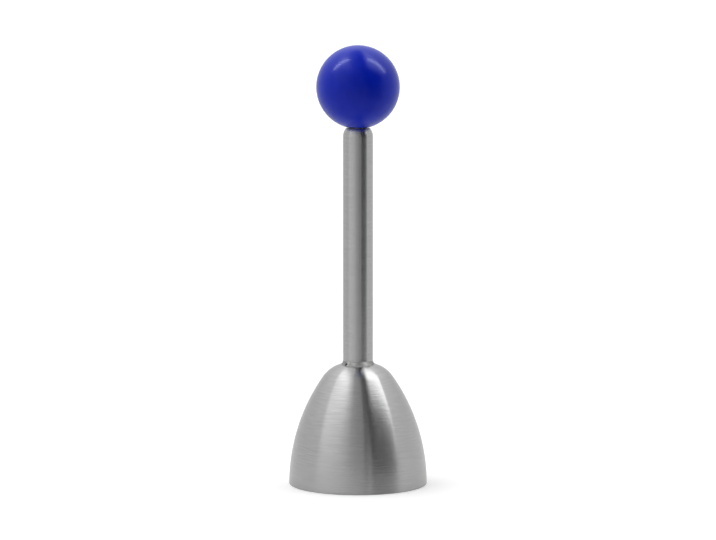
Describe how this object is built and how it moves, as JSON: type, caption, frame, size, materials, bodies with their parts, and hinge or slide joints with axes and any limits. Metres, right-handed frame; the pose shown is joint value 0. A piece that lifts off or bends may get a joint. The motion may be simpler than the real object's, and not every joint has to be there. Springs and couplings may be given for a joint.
{
  "type": "egg topper",
  "caption": "Hand tool that cracks a ring round an egg: a steel bell on a slim tube, with a spring-loaded ball knob to pull up and let go.",
  "frame": {"origin": "centre of the rim plane of the bell, on the axis of the tube, where the part stands", "axes": "+Z along the axis, from the bell's rim up to the ball; +X to the right and -Y to the viewer in the picture's view"},
  "size_m": [0.0416, 0.0416, 0.1324],
  "materials": {
    "bell_steel": "brushed round the axis, satin",
    "tube_steel": "brushed round the axis, satin",
    "weld_steel": "ground smooth by hand, semi-polished",
    "turned_steel": "turned",
    "washer_steel": "stamped",
    "spring_steel": "drawn wire",
    "pin_steel": "hardened, dull",
    "rod_steel": "drawn bright",
    "insert_brass": "machined",
    "bush_plastic": "moulded acetal",
    "ball_plastic": "semi-gloss blue"
  },
  "bodies": {
    "handle": {"bell": "bell_steel", "handle_tube": "tube_steel", "weld_fillet": "weld_steel", "anvil_plug": "turned_steel", "guide_bush": "bush_plastic", "upper_spring_washer": "washer_steel", "spring": "spring_steel"},
    "spring_follower": {"lower_spring_washer": "washer_steel"},
    "plunger": {"pull_rod": "rod_steel", "hammer": "turned_steel", "hammer_pin": "pin_steel", "threaded_insert": "insert_brass", "ball_knob": "ball_plastic"}
  },
  "joints": [
    {"name": "ball_pull", "type": "slide", "parent": "handle", "child": "spring_follower", "axis": [0, 0, 1], "range_m": [0, 0.025], "stiffness_N_per_m": 709, "springref_m": -0.008, "deforming": ["spring"]},
    {"name": "ball_swivel", "type": "hinge", "parent": "spring_follower", "child": "plunger", "pos_m": [0, 0, 0.1199], "axis": [0, 0, 1], "continuous": true}
  ]
}
